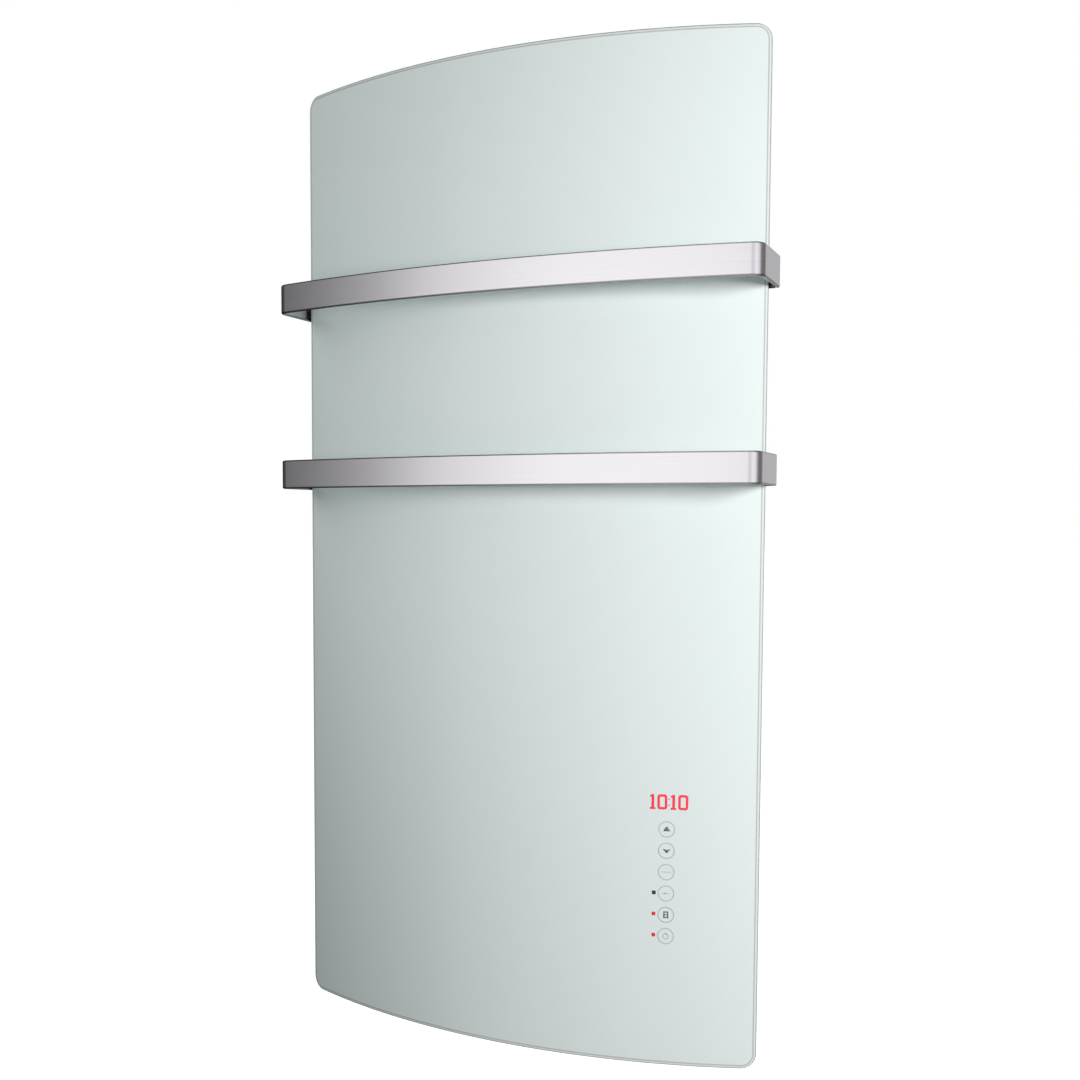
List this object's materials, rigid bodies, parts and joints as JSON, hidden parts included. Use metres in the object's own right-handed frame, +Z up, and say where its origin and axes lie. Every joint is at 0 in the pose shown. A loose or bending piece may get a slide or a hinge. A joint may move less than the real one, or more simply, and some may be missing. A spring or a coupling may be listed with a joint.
{
  "type": "electric radiator",
  "caption": "Wall-hung electric radiator with a curved glass front, touch controls, satin steel towel bars across it and a fan heater in the slim case behind.",
  "frame": {"origin": "on the wall plane, in the middle of the bracket's four screw holes, level with the glass's mid-height", "axes": "+Z up along the glass, +Y into the wall, front facing -Y, +X to the right seen from the front"},
  "size_m": [0.515, 0.142, 0.98],
  "materials": {
    "zinc_steel": "zinc-plated pressed steel",
    "case_paint": "smooth light grey powder coat",
    "cover_steel": "zinc-coated sheet",
    "black_rubber": "matte",
    "printed_glass": "clear toughened glass with a pale grey-green opaque print on the back, ground edges",
    "heating_film": "printed carbon film",
    "mineral_felt": "pressed mineral felt",
    "bright_foil": "bright rolled",
    "rail_aluminium": "mill finish",
    "silicone_bond": "cured silicone",
    "zinc_screws": "zinc plated",
    "thermostat_can": "drawn can",
    "satin_steel": "fine satin brushed stainless steel",
    "black_steel": "satin black powder coat",
    "black_plastic": "fine textured",
    "board_green": "solder mask",
    "display_lens": "dark lens with red digits",
    "pad_copper": "tinned spring pads",
    "led_lens": "diffuse lens",
    "ribbon_grey": "flat cable",
    "duct_steel": "galvanised",
    "wheel_plastic": "glass-filled",
    "bright_steel": "ground",
    "bush_bronze": "sintered bronze",
    "laminations": "stacked sheet",
    "coil_tape": "taped copper winding",
    "rotor_steel": "turned",
    "bridge_aluminium": "die cast",
    "heater_plastic": "heat-resistant moulding",
    "fin_aluminium": "folded fins",
    "grille_plastic": "fine textured",
    "lead_jacket": "heat-resistant sleeve",
    "white_plastic": "moulded",
    "relay_plastic": "moulded",
    "transformer_wrap": "taped coil and ferrite",
    "capacitor_can": "sleeved can",
    "rocker_plastic": "polished"
  },
  "bodies": {
    "wall_bracket": {"wall_bracket": "zinc_steel"},
    "radiator": {"bar_holder_lower_left": "black_steel", "bar_holder_lower_right": "black_steel", "bar_holder_upper_left": "black_steel", "bar_holder_upper_right": "black_steel", "bar_screws": "zinc_screws", "bond_strips": "silicone_bond", "box_screws": "zinc_screws", "cable_gland": "black_plastic", "capacitors": "capacitor_can", "case_cover": "cover_steel", "digit_display": "display_lens", "display_board": "board_green", "display_carrier": "black_plastic", "display_ribbon": "ribbon_grey", "earth_stud": "bush_bronze", "electronics_base": "white_plastic", "electronics_lid": "white_plastic", "fan_housing": "duct_steel", "fan_leads": "lead_jacket", "fan_screws": "zinc_screws", "fan_tongue": "duct_steel", "foil_thermostat": "thermostat_can", "gland_nut": "black_plastic", "glass_front": "printed_glass", "glass_rail_left": "rail_aluminium", "glass_rail_right": "rail_aluminium", "heater_element": "fin_aluminium", "heater_frame": "heater_plastic", "heater_leads": "lead_jacket", "heating_foil": "heating_film", "holder_screws": "zinc_screws", "indicator_leds": "led_lens", "insulation_pad": "mineral_felt", "motor_bridges": "bridge_aluminium", "motor_coil": "coil_tape", "motor_core": "laminations", "motor_posts": "bright_steel", "outlet_grille": "grille_plastic", "power_board": "board_green", "rail_screws": "zinc_screws", "rear_chassis": "case_paint", "reflector_sheet": "bright_foil", "relays": "relay_plastic", "room_sensor": "bright_steel", "sensor_clip": "black_rubber", "shaft_bushes": "bush_bronze", "switch_body": "black_plastic", "switch_leads": "lead_jacket", "terminal_block": "white_plastic", "thermal_cutout": "thermostat_can", "touch_pads": "pad_copper", "towel_bar_lower": "satin_steel", "towel_bar_upper": "satin_steel", "transformer": "transformer_wrap", "wall_bumpers": "black_rubber"},
    "fan_wheel": {"impeller": "wheel_plastic", "fan_shaft": "bright_steel", "motor_rotor": "rotor_steel"},
    "rocker": {"switch_rocker": "rocker_plastic"}
  },
  "joints": [
    {"name": "lift_off", "type": "slide", "parent": "wall_bracket", "child": "radiator", "axis": [0, 0, 1], "range_m": [0, 0.012]},
    {"name": "fan_spin", "type": "hinge", "parent": "radiator", "child": "fan_wheel", "pos_m": [0, -0.034, -0.385], "axis": [1, 0, 0], "continuous": true},
    {"name": "mains_switch", "type": "hinge", "parent": "radiator", "child": "rocker", "pos_m": [0.2155, -0.034, -0.395], "axis": [0, 1, 0], "range_deg": [0, 24]}
  ]
}
